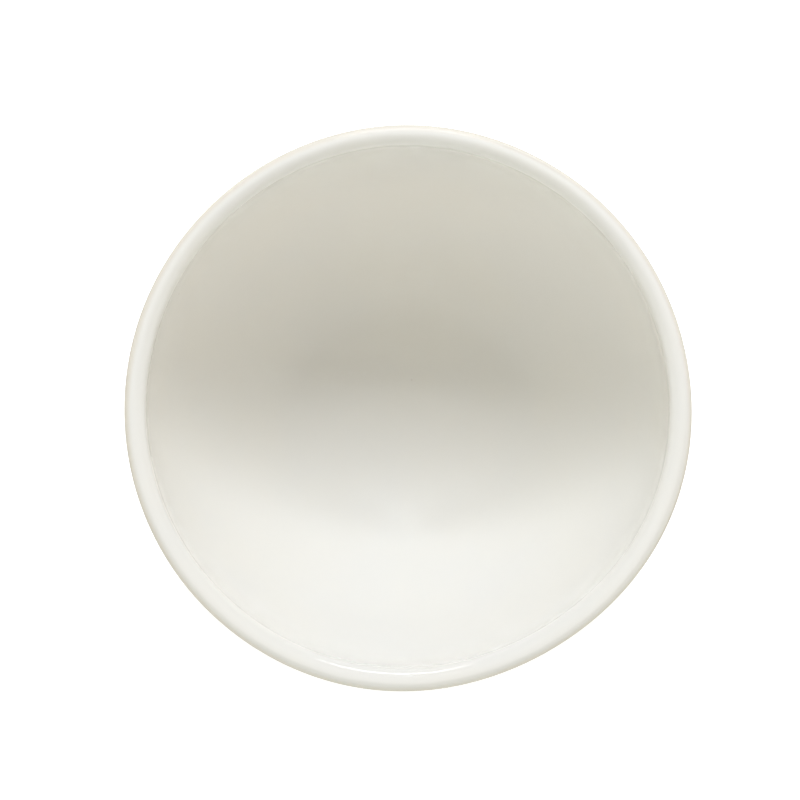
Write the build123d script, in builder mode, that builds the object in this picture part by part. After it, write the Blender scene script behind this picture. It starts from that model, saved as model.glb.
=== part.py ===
"""Stoneware latte bowl: a round clay body on a foot ring, and the three coats of glaze fired onto it.

Millimetres, +Z up. The origin is on the bowl's axis, on the plane that the foot ring stands on.
"""

import os
from math import atan2, cos, degrees, radians, sin, tan

from build123d import *

# Bowl
rim_diameter = 150.0  # across the widest part of the lip
wall_thickness = 5.75
lip_outer_round = 2.2  # from the crest of the lip out to the widest part; the inside is rounder
base_clearance = 4.3  # air under the middle of the bowl

# Foot ring
foot_diameter = 68.0  # outside, where it stands
foot_width = 4.5  # the band that it stands on
foot_lean = 7.0  # degrees that each side widens on its way up
foot_edge_round = 0.8  # both edges of the band
foot_blend = 6.0  # hollow curve from the foot's outside into the bowl
well_blend = 3.5  # hollow curve at the root of the foot's inside

# Glaze
glaze_thickness = 0.45
lip_joint_angle = 52.0  # degrees from the lip's crest, out and down, to where the two glazes meet
outside_bare_height = 3.4  # bare clay below the outside glaze
well_bare_height = 2.4  # bare clay below the glaze inside the foot ring

# Finished surfaces: the wall lies between two spheres with one centre
outer_radius = rim_diameter / 2
inner_radius = outer_radius - wall_thickness
middle_radius = outer_radius - wall_thickness / 2  # half way through the wall
centre_height = base_clearance + outer_radius  # of the spheres, where the lip begins
crest_radius = outer_radius - lip_outer_round
crest_height = centre_height + lip_outer_round
lip_inner_round = (crest_radius**2 + lip_outer_round**2 - inner_radius**2) / (inner_radius + lip_outer_round) / 2
lip_inner_height = crest_height - lip_inner_round
lip_tilt = degrees(atan2(centre_height - lip_inner_height, crest_radius))  # short of level, where lip meets wall
foot_outer = foot_diameter / 2
foot_inner = foot_outer - foot_width
foot_middle = foot_outer - foot_width / 2
foot_spread = centre_height * tan(radians(foot_lean))  # by the height of the spheres' centre

# Surfaces of the clay under the glaze
clay_outer = outer_radius - glaze_thickness
clay_inner = inner_radius + glaze_thickness
clay_lip_outer = lip_outer_round - glaze_thickness
clay_lip_inner = lip_inner_round - glaze_thickness
clay_base = centre_height - clay_outer
clay_floor = centre_height - clay_inner

# Corners of the outlines that each pick out one coat of glaze, well clear of the others
reach = 4 * wall_thickness
lip_centre = (crest_radius, centre_height)
joint_end = (
    crest_radius + reach * sin(radians(lip_joint_angle)),
    centre_height + reach * cos(radians(lip_joint_angle)),
)
above_lip = centre_height + 2 * reach
beyond_rim = outer_radius + 2 * reach

tolerance = 0.001

os.makedirs("parts", exist_ok=True)


def at_foot_root(vertex):
    """True where a side of the foot ring meets the round underside of the bowl."""
    from_centre = (Vector(vertex.X, vertex.Y) - Vector(0, centre_height)).length
    on_underside = abs(from_centre - clay_outer) < tolerance
    return on_underside and tolerance < vertex.X < clay_outer - tolerance


# Section of the clay: the foot ring, cut off half way into the wall, and the wall with its lip
with BuildSketch(Plane.XZ) as clay_section:
    with BuildLine():
        Polyline(
            (foot_inner, 0),
            (foot_outer, 0),
            (foot_outer + foot_spread, centre_height),
            (foot_inner - foot_spread, centre_height),
            close=True,
        )
    make_face()
    with Locations((0, centre_height)):
        Circle(middle_radius, mode=Mode.SUBTRACT)
    with BuildLine():
        CenterArc((0, centre_height), clay_outer, -90, 90)
        CenterArc(lip_centre, clay_lip_outer, 0, 90)
        CenterArc((crest_radius, lip_inner_height), clay_lip_inner, 90, 90 - lip_tilt)
        CenterArc((0, centre_height), clay_inner, -90, 90 - lip_tilt)
        Line((0, clay_floor), (0, clay_base))
    make_face()
    fillet(clay_section.vertices().filter_by(at_foot_root).sort_by(Axis.X)[0], well_blend)
    fillet(clay_section.vertices().filter_by(at_foot_root).sort_by(Axis.X)[-1], foot_blend)
    fillet(clay_section.vertices().group_by(Axis.Y)[0], foot_edge_round)

# Section of one coat of glaze all round the clay, of which each glaze is a stretch
with BuildSketch(Plane.XZ) as glaze_section:
    add(clay_section.sketch_local)
    offset(amount=glaze_thickness, mode=Mode.REPLACE)
    add(clay_section.sketch_local, mode=Mode.SUBTRACT)
    with Locations((0, -reach)):
        Rectangle(beyond_rim, above_lip + reach, align=Align.MIN, mode=Mode.INTERSECT)


def make_glaze(label, outline, core_mode):
    """Makes the glaze that lies in the outline, with or without what the middle of the wall encloses."""
    with BuildPart() as glaze:
        with BuildSketch(Plane.XZ):
            with BuildLine():
                Polyline(*outline, close=True)
            make_face()
            with Locations((0, centre_height)):
                Circle(middle_radius, mode=core_mode)
            add(glaze_section.sketch_local, mode=Mode.INTERSECT)
        revolve(axis=Axis.Z)
    glaze.part.label = label
    export_step(glaze.part, f"parts/{label}.step")


# Clay body, bare only on the foot ring
with BuildPart() as clay_body:
    add(clay_section.sketch)
    revolve(axis=Axis.Z)
clay_body.part.label = "clay_body"
export_step(clay_body.part, "parts/clay_body.step")

# White glaze over the inside and the lip
make_glaze(
    "inside_glaze",
    [(0, centre_height), lip_centre, joint_end, (joint_end[0], above_lip), (0, above_lip)],
    Mode.ADD,
)

# Cream glaze from the lip's outer edge down to the bare foot
make_glaze(
    "outside_glaze",
    [
        (foot_middle, centre_height),
        lip_centre,
        joint_end,
        (beyond_rim, joint_end[1]),
        (beyond_rim, outside_bare_height),
        (foot_middle, outside_bare_height),
    ],
    Mode.SUBTRACT,
)

# Glaze in the well inside the foot ring
make_glaze(
    "well_glaze",
    [(0, centre_height), (foot_middle, centre_height), (foot_middle, well_bare_height), (0, 0)],
    Mode.SUBTRACT,
)
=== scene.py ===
import math

import bpy
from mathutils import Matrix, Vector


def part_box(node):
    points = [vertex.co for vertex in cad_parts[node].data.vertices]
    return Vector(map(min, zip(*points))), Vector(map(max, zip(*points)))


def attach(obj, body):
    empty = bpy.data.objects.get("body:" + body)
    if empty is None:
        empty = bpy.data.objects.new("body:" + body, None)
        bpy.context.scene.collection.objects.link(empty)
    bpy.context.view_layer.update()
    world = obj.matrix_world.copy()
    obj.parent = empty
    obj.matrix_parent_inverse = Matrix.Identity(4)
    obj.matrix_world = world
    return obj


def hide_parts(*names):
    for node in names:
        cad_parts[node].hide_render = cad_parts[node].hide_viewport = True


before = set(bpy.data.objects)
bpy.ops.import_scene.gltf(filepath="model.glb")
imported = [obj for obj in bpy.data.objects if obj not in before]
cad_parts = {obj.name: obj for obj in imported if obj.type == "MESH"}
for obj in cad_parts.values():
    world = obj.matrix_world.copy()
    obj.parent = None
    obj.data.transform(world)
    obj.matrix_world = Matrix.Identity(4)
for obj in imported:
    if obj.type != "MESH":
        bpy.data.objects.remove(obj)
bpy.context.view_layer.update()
print("frame loaded:", ", ".join(sorted(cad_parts)))

mm = 0.001
quarterTurn = math.pi / 2
halfTurn = math.pi
fullTurn = 2 * math.pi

# Finished sizes, read from the frame: the wall lies between two spheres with one centre
liningLow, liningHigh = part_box("inside_glaze")
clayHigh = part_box("clay_body")[1]
outsideLow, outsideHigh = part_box("outside_glaze")
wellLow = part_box("well_glaze")[0]
rimRadius = outsideHigh.x
lipTop = liningHigh.z
coat = lipTop - clayHigh.z  # glaze thickness
floorTop = liningLow.z + coat

# The lip's crest lies nearer its outer edge, and its inner side is rounder and runs smoothly into the wall
outerRound = 2.2 * mm
centreZ = lipTop - outerRound
insideRadius = centreZ - floorTop
crestRadius = rimRadius - outerRound
innerRound = (crestRadius ** 2 + outerRound ** 2 - insideRadius ** 2) / (insideRadius + outerRound) / 2
outerLip = Vector((crestRadius, centreZ))
innerLip = Vector((crestRadius, lipTop - innerRound))
lipJoint = math.acos((liningHigh.x - crestRadius) / outerRound)  # up from level, where the glazes meet

bowlCentre = Vector((0, centreZ))
clayOutside = rimRadius - coat

# Foot ring, as it is cut in the clay
foot = {
    "radius": 34 * mm,
    "band": 4.5 * mm,  # what it stands on
    "lean": math.radians(7),
    "edgeRound": 0.8 * mm,
    "outerBlend": 6 * mm,
    "wellBlend": 3.5 * mm,
}

# How the bowl has gone out of round in the kiln: waves round the rim, how far, and where each one peaks
kiln = {
    "waves": [
        (2, 0.20 * mm, math.radians(21)),
        (3, 0.24 * mm, math.radians(-12)),
        (4, 0.15 * mm, math.radians(-16)),
        (5, 0.07 * mm, math.radians(-25)),
        (6, 0.07 * mm, math.radians(-27)),
    ],
    "stiffBelow": 14 * mm,  # the foot holds its shape
    "insideOff": 0.5 * mm,  # how far the inside lies off the middle of the outside, at the lip
    "insideTowards": math.radians(97),
}

# Lower edge of a glaze: a rolled bead that runs up and down round the foot, in waves like those of the rim
glazeEdge = {
    "roundOver": 0.5 * mm,
    "beadReach": 2.4 * mm,
    "beadRise": 0.16 * mm,
    "runs": [(3, 0.28 * mm, 0.9), (7, 0.16 * mm, 2.3), (13, 0.09 * mm, 4.0)],
    "runFade": 6 * mm,
    "sideSteps": 3,  # above the bead
    "beadSteps": 16,
    "backSteps": 6,
}

meshing = {
    "turnSteps": 320,
    "blendSteps": 12,
    "wallEase": 1.6,
    "mergeWithin": 0.001 * mm,
    "creaseAngle": math.radians(40),
}


def unit(value):
    return max(0.0, min(1.0, value))


def arc(centre, radius, start, end, count, ease=1):  # ease above 1 draws the points closer towards the end
    points = []
    for i in range(count + 1):
        angle = end + (start - end) * (1 - i / count) ** ease
        points.append(centre + radius * Vector((math.cos(angle), math.sin(angle))))
    return points


def between(first, last, count):  # both ends are left out
    return [first.lerp(last, i / count) for i in range(1, count)]


def bearing(origin, target):
    return math.atan2(target.y - origin.y, target.x - origin.x)


def footSide(side):  # 1 is the outside of the ring, -1 is its well
    start = Vector((foot["radius"] - (0 if side > 0 else foot["band"]), 0))
    outward = Vector((side * math.cos(foot["lean"]), -math.sin(foot["lean"])))
    upward = Vector((side * math.sin(foot["lean"]), math.cos(foot["lean"])))
    blend = foot["outerBlend"] if side > 0 else foot["wellBlend"]
    # The hollow curve touches the side of the ring and the round underside
    fromCentre = start + outward * blend - bowlCentre
    along = fromCentre.dot(upward)
    reach = clayOutside + blend
    rise = -along - math.sqrt(along ** 2 - fromCentre.length_squared + reach ** 2)
    return {
        "start": start,
        "outward": outward,
        "upward": upward,
        "blend": blend,
        "rise": rise,
        "hollow": start + outward * blend + upward * rise,
    }


def underside(ring, lift, start, count):
    hollow = ring["hollow"]
    fromRoot = bearing(hollow, bowlCentre)
    toRing = math.atan2(-ring["outward"].y, -ring["outward"].x)
    turn = (toRing - fromRoot + halfTurn) % fullTurn - halfTurn
    curve = arc(bowlCentre, clayOutside + lift, start, bearing(bowlCentre, hollow), count)
    blend = arc(hollow, ring["blend"] - lift, fromRoot, fromRoot + turn, meshing["blendSteps"])
    return curve + blend[1:]


def ringPoint(ring, height, lift):
    return ring["start"] + ring["upward"] * height + ring["outward"] * lift


def beadedEdge(ring, endZ):
    low = (endZ - ring["start"].y) / ring["upward"].y
    top = ring["rise"]
    reach = min(glazeEdge["beadReach"], top - low)
    points = between(ringPoint(ring, top, coat), ringPoint(ring, low + reach, coat), glazeEdge["sideSteps"])
    count = glazeEdge["beadSteps"]
    for i in range(count + 1):
        above = reach * (1 - i / count) ** 2  # closer together towards the edge
        inEdge = unit(above / glazeEdge["roundOver"])
        bead = glazeEdge["beadRise"] * math.sin(halfTurn * math.sqrt(above / reach)) ** 2
        lift = (coat + bead) * math.sqrt(1 - (1 - inEdge) ** 2)
        points.append(ringPoint(ring, low + above, lift))
    return points


def lathe(name, outline, closed):
    bpy.ops.object.select_all(action="DESELECT")
    bpy.ops.mesh.primitive_plane_add(size=coat)
    piece = bpy.context.object
    piece.name = name
    piece.data.name = name
    bpy.ops.object.mode_set(mode="EDIT")
    bpy.ops.mesh.merge(type="CENTER")
    bpy.ops.transform.translate(value=(outline[0].x, 0, outline[0].y))
    for last, point in zip(outline, outline[1:]):
        step = point - last
        bpy.ops.mesh.extrude_vertices_move(TRANSFORM_OT_translate={"value": (step.x, 0, step.y)})
    if closed:
        bpy.ops.object.mode_set(mode="OBJECT")
        ends = (0, len(outline) - 1)
        for vertex in piece.data.vertices:
            vertex.select = vertex.index in ends
        bpy.ops.object.mode_set(mode="EDIT")
        bpy.ops.mesh.edge_face_add()
    bpy.ops.object.mode_set(mode="OBJECT")
    # How far each point lies along the outline from the first, which the spin copies round
    along = piece.data.attributes.new("along", "FLOAT", "POINT")
    travelled = 0.0
    for i, point in enumerate(outline):
        travelled += (point - outline[i - 1]).length if i else 0.0
        along.data[i].value = travelled
    bpy.ops.object.mode_set(mode="EDIT")
    bpy.ops.mesh.select_all(action="SELECT")
    bpy.ops.mesh.spin(steps=meshing["turnSteps"], angle=fullTurn, center=(0, 0, 0), axis=(0, 0, 1))
    bpy.ops.mesh.select_all(action="SELECT")
    bpy.ops.mesh.remove_doubles(threshold=meshing["mergeWithin"])
    bpy.ops.mesh.normals_make_consistent(inside=False)
    bpy.ops.object.mode_set(mode="OBJECT")
    print(name, "turned:", len(piece.data.polygons), "faces")
    return piece


def waves(terms, azimuth):
    return sum(size * math.cos(count * (azimuth - peak)) for count, size, peak in terms)


def fireInKiln(piece):
    for vertex in piece.data.vertices:
        azimuth = math.atan2(vertex.co.y, vertex.co.x)
        ease = unit((vertex.co.z - kiln["stiffBelow"]) / (lipTop - kiln["stiffBelow"]))
        swell = 1 + waves(kiln["waves"], azimuth) * ease / rimRadius
        # Only the inside moves off the middle, and the outside from the crest on stays
        fromCentre = math.hypot(vertex.co.x, vertex.co.y, min(vertex.co.z - centreZ, 0.0))
        inward = unit((crestRadius - fromCentre) / (crestRadius - insideRadius))
        shift = kiln["insideOff"] * ease * inward
        vertex.co.x = vertex.co.x * swell + shift * math.cos(kiln["insideTowards"])
        vertex.co.y = vertex.co.y * swell + shift * math.sin(kiln["insideTowards"])


def runGlaze(piece, endZ):
    for vertex in piece.data.vertices:
        near = 1 - (vertex.co.z - endZ) / glazeEdge["runFade"]
        if near > 0:
            azimuth = math.atan2(vertex.co.y, vertex.co.x)
            vertex.co.z += waves(glazeEdge["runs"], azimuth) * near ** 2


def finishPiece(piece, node, material):
    bpy.ops.object.select_all(action="DESELECT")
    piece.select_set(True)
    bpy.context.view_layer.objects.active = piece
    bpy.ops.object.shade_smooth_by_angle(angle=meshing["creaseAngle"])
    piece.data.materials.clear()
    piece.data.materials.append(material)
    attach(piece, "root")
    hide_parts(node)


# Shader helpers


def addNode(tree, kind, inputs=None, **settings):
    node = tree.nodes.new(kind)
    for setting, value in settings.items():
        setattr(node, setting, value)
    for socket, value in (inputs or {}).items():
        if isinstance(value, bpy.types.NodeSocket):
            tree.links.new(value, node.inputs[socket])
        else:
            node.inputs[socket].default_value = value
    return node


def newGroup(name, inputs, outputs):
    group = bpy.data.node_groups.new(name, "ShaderNodeTree")
    for socket, kind in inputs:
        group.interface.new_socket(socket, in_out="INPUT", socket_type="NodeSocket" + kind)
    for socket, kind in outputs:
        group.interface.new_socket(socket, in_out="OUTPUT", socket_type="NodeSocket" + kind)
    return group, group.nodes.new("NodeGroupInput").outputs, group.nodes.new("NodeGroupOutput").inputs


def maths(tree, operation, *values):
    return addNode(tree, "ShaderNodeMath", dict(enumerate(values)), operation=operation).outputs[0]


def ramp(tree, value, low, high):
    inputs = {"Value": value, "From Min": low, "From Max": high}
    return addNode(tree, "ShaderNodeMapRange", inputs, interpolation_type="SMOOTHSTEP").outputs["Result"]


def mixColour(tree, amount, first, second):  # a Mix node has its colours at 6 and 7, and their mix at 2
    return addNode(tree, "ShaderNodeMix", {0: amount, 6: first, 7: second}, data_type="RGBA").outputs[2]


def rgba(colour):
    return (*colour, 1.0)


# Iron specks: where their edge begins to soften, as a share of their size, and how strong the faintest is
speckShape = {"softFrom": 0.4, "faintest": 0.4}


def ironSpeckGroup():
    group, given, gives = newGroup(
        "ironSpecks",
        [("Vector", "Vector"), ("Per Metre", "Float"), ("Size", "Float"), ("Share", "Float")],
        [("Mask", "Float")],
    )
    cells = addNode(group, "ShaderNodeTexVoronoi", {"Vector": given["Vector"], "Scale": given["Per Metre"]})
    edge = maths(group, "MULTIPLY", given["Size"], speckShape["softFrom"])
    spot = maths(group, "SUBTRACT", 1.0, ramp(group, cells.outputs["Distance"], edge, given["Size"]))
    draw = addNode(group, "ShaderNodeSeparateColor", {"Color": cells.outputs["Color"]}).outputs
    chosen = maths(group, "LESS_THAN", draw["Red"], given["Share"])
    faintest = speckShape["faintest"]
    strength = maths(group, "MULTIPLY_ADD", draw["Green"], 1 - faintest, faintest)
    mask = maths(group, "MULTIPLY", maths(group, "MULTIPLY", spot, chosen), strength)
    group.links.new(mask, gives["Mask"])
    return group


# Fired skin: a slow drift of the colour, and a fine ripple or grain of the surface
skinNoise = {
    "drift": {"Detail": 3.0, "Roughness": 0.55},
    "driftRange": (0.3, 0.7),
    "ripple": {"Detail": 1.0, "Roughness": 0.4},
}


def firedSkinGroup():
    group, given, gives = newGroup(
        "firedSkin",
        [("Vector", "Vector"), ("Drift Per Metre", "Float"), ("Ripple Per Metre", "Float")],
        [("Drift", "Float"), ("Ripple", "Float")],
    )
    drift = addNode(group, "ShaderNodeTexNoise", {
        "Vector": given["Vector"], "Scale": given["Drift Per Metre"], **skinNoise["drift"]})
    group.links.new(ramp(group, drift.outputs[0], *skinNoise["driftRange"]), gives["Drift"])
    ripple = addNode(group, "ShaderNodeTexNoise", {
        "Vector": given["Vector"], "Scale": given["Ripple Per Metre"], **skinNoise["ripple"]})
    group.links.new(ripple.outputs[0], gives["Ripple"])
    return group


ironSpecks = ironSpeckGroup()
firedSkin = firedSkinGroup()


def newMaterial(name):
    material = bpy.data.materials.new(name)
    material.use_nodes = True
    tree = material.node_tree
    shader = tree.nodes["Principled BSDF"]
    place = addNode(tree, "ShaderNodeTexCoord").outputs["Object"]
    return material, tree, shader, place


def addSkin(tree, place, look):
    skin = addNode(tree, "ShaderNodeGroup", {
        "Vector": place,
        "Drift Per Metre": look["driftPerMetre"],
        "Ripple Per Metre": look["ripplePerMetre"],
    }, node_tree=firedSkin).outputs
    return skin, mixColour(tree, skin["Drift"], rgba(look["colour"]), rgba(look["drift"]))


def addSpecks(tree, place, look, body):
    mask = addNode(tree, "ShaderNodeGroup", {
        "Vector": place,
        "Per Metre": look["specksPerMetre"],
        "Size": look["speckSize"],
        "Share": look["speckShare"],
    }, node_tree=ironSpecks).outputs["Mask"]
    return mixColour(tree, maths(tree, "MULTIPLY", mask, look["speckStrength"]), body, rgba(look["speck"]))


def finishShader(tree, shader, look, body, roughBy, ripple):
    tree.links.new(body, shader.inputs["Base Color"])
    smoothest, roughest = look["roughness"]
    rough = addNode(tree, "ShaderNodeMapRange", {"Value": roughBy, "To Min": smoothest, "To Max": roughest})
    tree.links.new(rough.outputs["Result"], shader.inputs["Roughness"])
    if look["ripple"]:
        bump = addNode(tree, "ShaderNodeBump", {
            "Height": ripple, "Strength": 1.0, "Distance": look["ripple"]})
        tree.links.new(bump.outputs["Normal"], shader.inputs["Normal"])


# Where the lining thins over the lip's outer edge and the cream outside begins, from the crest outwards.
# The swing brings the cream and tan sooner on the side the key lamp lights: painted shade, darkening the
# lip's outer edge there, while the band itself and its wander are the glazes' own colours.
lipBreak = {
    # Painted shade: the cream and tan come soonest on this side, which faces the key lamp, darkening the
    # lip's outer edge there
    "paintedShadeToward": math.radians(125),  # the cream comes soonest on this side
    "paintedShadeSwing": 0.5 * mm,
    "wander": 0.2 * mm,
    "cream": (0.4 * mm, 2.0 * mm),
    "tan": (1.7 * mm, 2.8 * mm),
    "tanEnds": (5.0 * mm, 11.0 * mm),
    "tanStrength": 0.65,
    "tanColour": (0.79, 0.72, 0.61),
    "wellFrom": 20 * mm,  # the well's glaze is all past the tan
}


def glazeMaterial(name, look, crestAt):  # crestAt is where the lip's crest lies along the outline
    material, tree, shader, place = newMaterial(name)
    skin, body = addSkin(tree, place, look)
    along = addNode(tree, "ShaderNodeAttribute", attribute_name="along").outputs["Fac"]
    fromCrest = maths(tree, "SUBTRACT", along, crestAt)
    axes = addNode(tree, "ShaderNodeSeparateXYZ", {"Vector": place}).outputs
    # Painted shade: the cream and tan band moves towards the crest on the side the key lamp lights,
    # darkening the lip's edge there; the wander from the drift is the glaze's own
    paintedShadeSide = maths(tree, "ADD",
                     maths(tree, "MULTIPLY", axes["X"], math.cos(lipBreak["paintedShadeToward"]) / rimRadius),
                     maths(tree, "MULTIPLY", axes["Y"], math.sin(lipBreak["paintedShadeToward"]) / rimRadius))
    wander = maths(tree, "MULTIPLY", skin["Drift"], lipBreak["wander"])
    shadeAndWander = maths(tree, "SUBTRACT", maths(tree, "MULTIPLY", paintedShadeSide, lipBreak["paintedShadeSwing"]), wander)
    passed = maths(tree, "ADD", fromCrest, shadeAndWander)
    body = mixColour(tree, ramp(tree, passed, *lipBreak["cream"]), body, rgba(look["overLip"]))
    thin = maths(tree, "MULTIPLY", ramp(tree, passed, *lipBreak["tan"]),
                 maths(tree, "SUBTRACT", 1.0, ramp(tree, passed, *lipBreak["tanEnds"])))
    tan = maths(tree, "MULTIPLY", thin, lipBreak["tanStrength"])
    body = mixColour(tree, tan, body, rgba(lipBreak["tanColour"]))
    body = addSpecks(tree, place, look, body)
    finishShader(tree, shader, look, body, skin["Drift"], skin["Ripple"])
    return material


whiteGlaze = {
    "colour": (0.87, 0.86, 0.82),
    "drift": (0.88, 0.865, 0.815),
    "overLip": (0.83, 0.79, 0.70),
    "driftPerMetre": 40.0,
    "ripplePerMetre": 160.0,
    "ripple": 0.0,  # fired quite smooth
    "roughness": (0.07, 0.12),
    "specksPerMetre": 130.0,
    "speckSize": 0.035,
    "speckShare": 0.25,
    "speckStrength": 0.5,
    "speck": (0.42, 0.34, 0.24),
}

creamGlaze = {
    "colour": (0.83, 0.79, 0.70),
    "drift": (0.82, 0.765, 0.66),
    "overLip": (0.83, 0.79, 0.70),
    "driftPerMetre": 34.0,
    "ripplePerMetre": 150.0,
    "ripple": 0.03 * mm,
    "roughness": (0.09, 0.16),
    "specksPerMetre": 210.0,
    "speckSize": 0.06,
    "speckShare": 0.3,
    "speckStrength": 0.6,
    "speck": (0.42, 0.31, 0.19),
}

# Bare clay, toasted where it meets the glaze
bareClay = {
    "colour": (0.70, 0.57, 0.42),
    "drift": (0.66, 0.51, 0.35),
    "toast": (0.60, 0.42, 0.26),
    "toastRange": (outsideLow.z - 2.2 * mm, outsideLow.z + 0.4 * mm),
    "driftPerMetre": 60.0,
    "ripplePerMetre": 2600.0,  # grains of sand
    "ripple": 0.10 * mm,
    "roughness": (0.78, 0.95),
    "specksPerMetre": 900.0,
    "speckSize": 0.16,
    "speckShare": 0.18,
    "speckStrength": 1.0,
    "speck": (0.30, 0.20, 0.12),
}


def clayMaterial():
    material, tree, shader, place = newMaterial("bareClay")
    skin, body = addSkin(tree, place, bareClay)
    height = addNode(tree, "ShaderNodeSeparateXYZ", {"Vector": place}).outputs["Z"]
    toast = ramp(tree, height, *bareClay["toastRange"])
    body = mixColour(tree, toast, body, rgba(bareClay["toast"]))
    body = addSpecks(tree, place, bareClay, body)
    finishShader(tree, shader, bareClay, body, skin["Ripple"], skin["Ripple"])
    return material


outerRing = footSide(1)
wellRing = footSide(-1)
wallTop = bearing(bowlCentre, innerLip)


def insideOverLip(depth, end, steps):
    wall = arc(bowlCentre, insideRadius + depth, -quarterTurn, wallTop, steps["wall"], meshing["wallEase"])
    innerSide = arc(innerLip, innerRound - depth, halfTurn + wallTop, quarterTurn, steps["innerLip"])
    outerSide = arc(outerLip, outerRound - depth, quarterTurn, end, steps["outerLip"])
    return wall + innerSide[1:] + outerSide[1:]


def glazeBelow(ring, start, endZ, steps):  # from the bowl's round to the bead, and back along the clay
    outline = underside(ring, coat, start, steps["face"])
    outline += beadedEdge(ring, endZ)
    outline += between(outline[-1], ringPoint(ring, ring["rise"], 0), glazeEdge["backSteps"])
    outline += reversed(underside(ring, 0, start, steps["back"]))
    return outline


# Clay body: turned whole, though only the foot ring shows
claySteps = {
    "wall": 36,
    "innerLip": 18,
    "outerLip": 8,
    "underside": 36,
    "ringSide": 8,
    "bandEdge": 8,
    "wellSide": 6,
    "well": 14,
}


def clayOutline():
    outline = insideOverLip(coat, 0, claySteps)
    outline += underside(outerRing, 0, 0, claySteps["underside"])
    ringTop = ringPoint(outerRing, outerRing["rise"], 0)
    outline += between(ringTop, outerRing["start"], claySteps["ringSide"])
    # Rounded edges of the band: each turns from the leaning side to level
    corner = foot["edgeRound"]
    setback = corner * math.tan((quarterTurn - foot["lean"]) / 2)
    outerEdge = Vector((foot["radius"] - setback, corner))
    innerEdge = Vector((foot["radius"] - foot["band"] + setback, corner))
    outline += arc(outerEdge, corner, -foot["lean"], -quarterTurn, claySteps["bandEdge"])
    outline += arc(innerEdge, corner, -quarterTurn, foot["lean"] - halfTurn, claySteps["bandEdge"])
    outline += between(wellRing["start"], ringPoint(wellRing, wellRing["rise"], 0), claySteps["wellSide"])
    outline += reversed(underside(wellRing, 0, -quarterTurn, claySteps["well"]))
    return outline


clayBody = lathe("clayBody", clayOutline(), False)
fireInKiln(clayBody)
finishPiece(clayBody, "clay_body", clayMaterial())

# Lining: the white glaze inside and over the lip, finest where it shows
liningSteps = {"wall": 96, "innerLip": 48, "outerLip": 16}


def liningOutline():
    outline = insideOverLip(0, lipJoint, liningSteps)
    outline += reversed(insideOverLip(coat, lipJoint, claySteps))
    return outline


lining = lathe("insideGlaze", liningOutline(), False)
fireInKiln(lining)
crestAlong = (quarterTurn + wallTop) * (insideRadius + innerRound)
finishPiece(lining, "inside_glaze", glazeMaterial("whiteGlaze", whiteGlaze, crestAlong))

# Outside: the cream glaze from the joint on the lip down to the bare foot
outsideSteps = {"lip": 10, "face": 64, "back": 32, "lipBack": 5}


def outsideOutline():
    outline = arc(outerLip, outerRound, lipJoint, 0, outsideSteps["lip"])
    outline += glazeBelow(outerRing, 0, outsideLow.z, outsideSteps)
    outline += reversed(arc(outerLip, outerRound - coat, lipJoint, 0, outsideSteps["lipBack"]))
    return outline


outside = lathe("outsideGlaze", outsideOutline(), True)
runGlaze(outside, outsideLow.z)
fireInKiln(outside)
jointAlong = (quarterTurn - lipJoint) * outerRound
finishPiece(outside, "outside_glaze", glazeMaterial("creamGlaze", creamGlaze, -jointAlong))

# Well: the glaze inside the foot ring
wellSteps = {"face": 28, "back": 18}
well = lathe("wellGlaze", glazeBelow(wellRing, -quarterTurn, wellLow.z, wellSteps), False)
runGlaze(well, wellLow.z)
fireInKiln(well)
wellMaterial = glazeMaterial("wellGlaze", creamGlaze, -lipBreak["wellFrom"])
finishPiece(well, "well_glaze", wellMaterial)
print("four pieces turned and glazed")

# Camera straight above, with the back of the bowl at the top of the picture
view = {
    "aboveLip": 1.0,
    "pictureSide": 800,  # pixels
    "rimRadiusSeen": 283.15,  # pixels
    "centreSeen": (407.5, 408.55),  # pixels from the left and the top
    "sensor": 36.0,
}


def addCamera():
    toRim = view["aboveLip"] + outerRound
    field = view["pictureSide"] * rimRadius / view["rimRadiusSeen"]
    bpy.ops.object.camera_add(location=(0, 0, lipTop + view["aboveLip"]), rotation=(0, 0, 0))
    camera = bpy.context.object
    camera.data.sensor_width = view["sensor"]
    camera.data.lens = view["sensor"] * toRim / field
    middle = view["pictureSide"] / 2
    camera.data.shift_x = (middle - view["centreSeen"][0]) / view["pictureSide"]
    camera.data.shift_y = (view["centreSeen"][1] - middle) / view["pictureSide"]
    bpy.context.scene.camera = camera


# Lamps, as the bowl sees them, in degrees: azimuth from the right, anticlockwise, and spread across and up.
# The glaze mirrors only lipGleam, which lights nothing, and the room below stands in for the rest.
lamps = {
    "keySoftbox": {"azimuth": 87.5, "elevation": 37, "spread": (20, 19), "brightness": 21.9,
                   "colour": (0.955, 1.0, 1.09)},
    "rightCard": {"azimuth": 0, "elevation": 18, "spread": (44, 30), "brightness": 1.34,
                  "colour": (1.05, 1.0, 0.91)},
    "leftCard": {"azimuth": 180, "elevation": 18, "spread": (44, 30), "brightness": 1.36,
                 "colour": (0.99, 1.0, 0.975)},
    "frontCard": {"azimuth": 270, "elevation": 8, "spread": (46, 14), "brightness": 1.15,
                  "colour": (0.64, 1.0, 1.2)},
    "frontSoftbox": {"azimuth": 270, "elevation": 24, "spread": (46, 16), "brightness": 2.14,
                     "colour": (1.015, 1.0, 0.985)},
    "frontLeftFill": {"azimuth": 225, "elevation": 50, "spread": (44, 34), "brightness": 0.91,
                      "colour": (1.0, 1.0, 0.82)},
    "frontRightFill": {"azimuth": 315, "elevation": 50, "spread": (44, 34), "brightness": 0.62,
                       "colour": (1.1, 1.0, 0.82)},
    "lipGleam": {"azimuth": 88, "elevation": 24, "spread": (34, 7), "brightness": 12.0,
                 "colour": (1.0, 1.0, 1.0), "onlyMirrored": True},
}
lampDistance = 1.6
lightBounces = 32  # light runs far round the mirror-like wall
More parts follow.
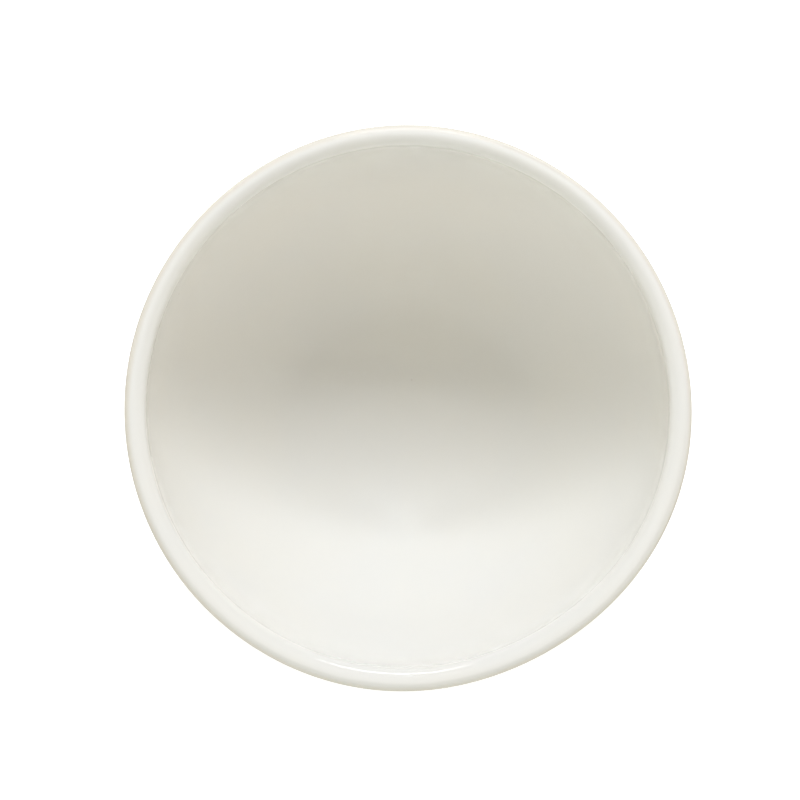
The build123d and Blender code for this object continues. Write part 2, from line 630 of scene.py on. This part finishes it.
surroundings = {"colour": (1.0, 0.965, 0.89), "strength": 0.343, "white": (1.0, 1.0, 1.0)}

# The room as the glaze mirrors it: a bright ceiling panel, pale walls low down, and dark between them
mirroredRoom = {
    "panelLean": math.radians(18),  # its middle, from straight up towards the back
    "panelHalfWidth": math.radians(63),
    "panelHalfDepth": math.radians(29),
    "panelSoft": 0.33,
    "panel": 1.13,
    "wallsRise": 0.5,  # the front wall is the tallest
    "wallsFade": (0.19, 0.51),
    "walls": 0.85,
}

floorLook = {
    "side": 8.0,
    "colour": (0.8, 0.8, 0.8),
    "glow": 0.55,  # for the camera alone, so that it sees white
    "glowFrom": (foot["radius"], rimRadius),  # out from the axis, so the shadow under the bowl shows
}


def addLamps():
    target = Vector((0, 0, centreZ))
    for name, lamp in lamps.items():
        azimuth = math.radians(lamp["azimuth"])
        elevation = math.radians(lamp["elevation"])
        level = math.cos(elevation)
        away = Vector((level * math.cos(azimuth), level * math.sin(azimuth), math.sin(elevation)))
        turn = away.to_track_quat("Z", "Y").to_euler()
        bpy.ops.object.light_add(type="AREA", location=target + away * lampDistance, rotation=turn)
        light = bpy.context.object
        light.name = name
        wide, tall = (math.radians(spread) / 2 for spread in lamp["spread"])
        light.data.shape = "RECTANGLE"
        light.data.size = 2 * lampDistance * math.tan(wide * level)
        light.data.size_y = 2 * lampDistance * math.tan(tall)
        light.data.energy = lamp["brightness"] * math.pi * light.data.size * light.data.size_y
        light.data.color = lamp["colour"]
        onlyMirrored = lamp.get("onlyMirrored", False)
        light.visible_camera = False
        light.visible_glossy = onlyMirrored
        light.visible_diffuse = not onlyMirrored


def mirroredBrightness(tree):
    room = mirroredRoom
    direction = addNode(tree, "ShaderNodeTexCoord").outputs["Generated"]
    axes = addNode(tree, "ShaderNodeSeparateXYZ", {"Vector": direction}).outputs
    across = maths(tree, "DIVIDE", axes["X"], math.sin(room["panelHalfWidth"]))
    level = maths(tree, "SUBTRACT",
                  maths(tree, "MULTIPLY", axes["Y"], math.cos(room["panelLean"])),
                  maths(tree, "MULTIPLY", axes["Z"], math.sin(room["panelLean"])))
    lengthways = maths(tree, "DIVIDE", level, math.sin(room["panelHalfDepth"]))
    squares = maths(tree, "ADD",
                    maths(tree, "MULTIPLY", across, across),
                    maths(tree, "MULTIPLY", lengthways, lengthways))
    reach = maths(tree, "SQRT", squares)
    offPanel = ramp(tree, reach, 1 - room["panelSoft"], 1 + room["panelSoft"])
    panel = maths(tree, "MULTIPLY", maths(tree, "SUBTRACT", 1.0, offPanel), room["panel"])
    height = maths(tree, "ADD", axes["Z"], maths(tree, "MULTIPLY", axes["Y"], room["wallsRise"]))
    aboveWalls = ramp(tree, height, *room["wallsFade"])
    walls = maths(tree, "MULTIPLY", maths(tree, "SUBTRACT", 1.0, aboveWalls), room["walls"])
    return maths(tree, "ADD", panel, walls)


def addSurroundings():
    world = bpy.data.worlds.new("surroundings")
    bpy.context.scene.world = world
    world.use_nodes = True
    tree = world.node_tree
    tree.nodes.clear()
    around = addNode(tree, "ShaderNodeBackground", {
        "Color": rgba(surroundings["colour"]), "Strength": surroundings["strength"]})
    mirrored = addNode(tree, "ShaderNodeBackground", {
        "Color": rgba(surroundings["white"]), "Strength": mirroredBrightness(tree)})
    white = addNode(tree, "ShaderNodeBackground", {"Color": rgba(surroundings["white"]), "Strength": 1.0})
    path = addNode(tree, "ShaderNodeLightPath").outputs
    lit = addNode(tree, "ShaderNodeMixShader", {
        0: path["Is Glossy Ray"], 1: around.outputs[0], 2: mirrored.outputs[0]})
    seen = addNode(tree, "ShaderNodeMixShader", {
        0: path["Is Camera Ray"], 1: lit.outputs[0], 2: white.outputs[0]})
    addNode(tree, "ShaderNodeOutputWorld", {"Surface": seen.outputs[0]})


def addFloor():
    bpy.ops.object.select_all(action="DESELECT")
    bpy.ops.mesh.primitive_plane_add(size=floorLook["side"])
    floor = bpy.context.object
    floor.name = "floor"
    material = bpy.data.materials.new("paleFloor")
    material.use_nodes = True
    tree = material.node_tree
    tree.nodes.clear()
    seen = addNode(tree, "ShaderNodeLightPath").outputs["Is Camera Ray"]
    place = addNode(tree, "ShaderNodeTexCoord").outputs["Object"]
    reach = addNode(tree, "ShaderNodeVectorMath", {0: place}, operation="LENGTH").outputs["Value"]
    glowing = maths(tree, "MULTIPLY", ramp(tree, reach, *floorLook["glowFrom"]), floorLook["glow"])
    matte = addNode(tree, "ShaderNodeBsdfDiffuse", {"Color": rgba(floorLook["colour"])})
    glow = addNode(tree, "ShaderNodeEmission", {
        "Color": rgba(surroundings["white"]), "Strength": maths(tree, "MULTIPLY", seen, glowing)})
    both = addNode(tree, "ShaderNodeAddShader", {0: matte.outputs[0], 1: glow.outputs[0]})
    addNode(tree, "ShaderNodeOutputMaterial", {"Surface": both.outputs[0]})
    floor.data.materials.append(material)


addCamera()
addLamps()
addSurroundings()
addFloor()
bpy.context.scene.view_settings.view_transform = "Standard"
bpy.context.scene.cycles.max_bounces = lightBounces
bpy.context.scene.cycles.glossy_bounces = lightBounces
print("camera, lamps and floor in place")

bpy.context.view_layer.update()
